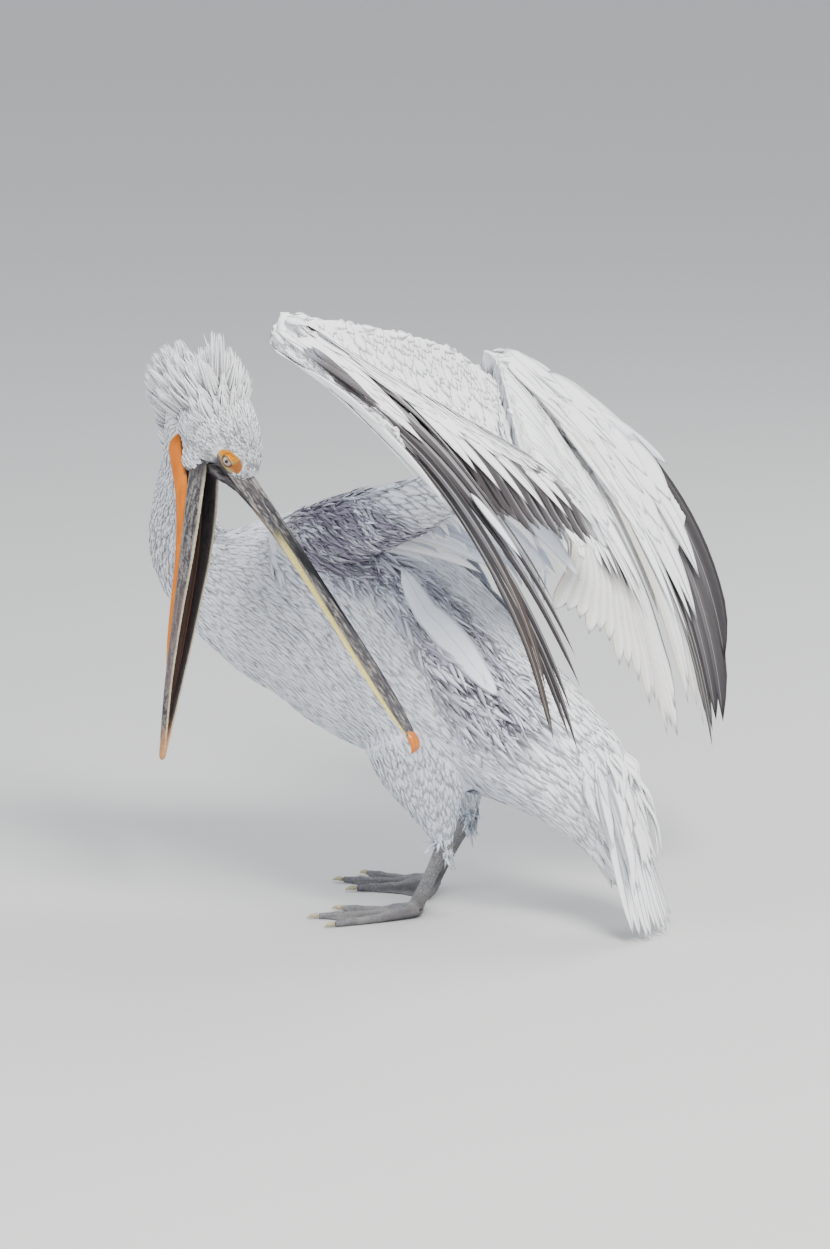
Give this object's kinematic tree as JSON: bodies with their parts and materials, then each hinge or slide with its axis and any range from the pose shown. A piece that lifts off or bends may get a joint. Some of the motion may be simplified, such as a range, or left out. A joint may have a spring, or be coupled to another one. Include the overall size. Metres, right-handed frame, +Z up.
{
  "type": "Dalmatian pelican, life-size still model",
  "caption": "Standing pelican with both wings lifted and half spread, its head turned back over the left side and its long bill open.",
  "frame": {"origin": "the floor, under the middle of the bounding box", "axes": "+Z up, -Y the way the breast faces, +X the bird's left side"},
  "size_m": [0.7457, 0.7483, 0.8656],
  "materials": {
    "body_feather": "soft, bluish white fine feathers",
    "mottled_feather": "soft, white and grey mottled feathers",
    "white_feather": "soft, white feathers",
    "grey_vane": "smooth, pale grey vanes with dark inner edges",
    "dark_vane": "smooth, slate brown vanes",
    "bill_horn": "dry horn, grey and ivory mottled",
    "bill_nail": "smooth orange horn",
    "pouch_skin": "soft bare orange skin",
    "eye": "wet, pale iris with a dark pupil",
    "leg_skin": "scaly grey skin",
    "claw_horn": "smooth horn"
  },
  "bodies": {
    "root": {"trunk": "body_feather", "neck_lower": "mottled_feather", "neck_upper": "body_feather", "head": "mottled_feather", "crest": "white_feather", "upper_bill": "bill_horn", "bill_nail": "bill_nail", "lower_bill": "bill_horn", "pouch": "pouch_skin", "eye_left": "eye", "eye_right": "eye", "thigh_left": "white_feather", "shank_left": "leg_skin", "foot_left": "leg_skin", "claw_left_1": "claw_horn", "claw_left_2": "claw_horn", "claw_left_3": "claw_horn", "claw_left_4": "claw_horn", "thigh_right": "white_feather", "shank_right": "leg_skin", "foot_right": "leg_skin", "claw_right_1": "claw_horn", "claw_right_2": "claw_horn", "claw_right_3": "claw_horn", "claw_right_4": "claw_horn", "tail": "white_feather", "tail_coverts": "white_feather", "upper_arm_left": "body_feather", "scapulars_left": "white_feather", "fore_arm_left": "white_feather", "secondaries_left": "grey_vane", "hand_left": "white_feather", "primaries_left": "dark_vane", "alula_left": "dark_vane", "upper_arm_right": "body_feather", "scapulars_right": "white_feather", "fore_arm_right": "white_feather", "secondaries_right": "grey_vane", "hand_right": "white_feather", "primaries_right": "dark_vane", "alula_right": "dark_vane"}
  },
  "joints": []
}
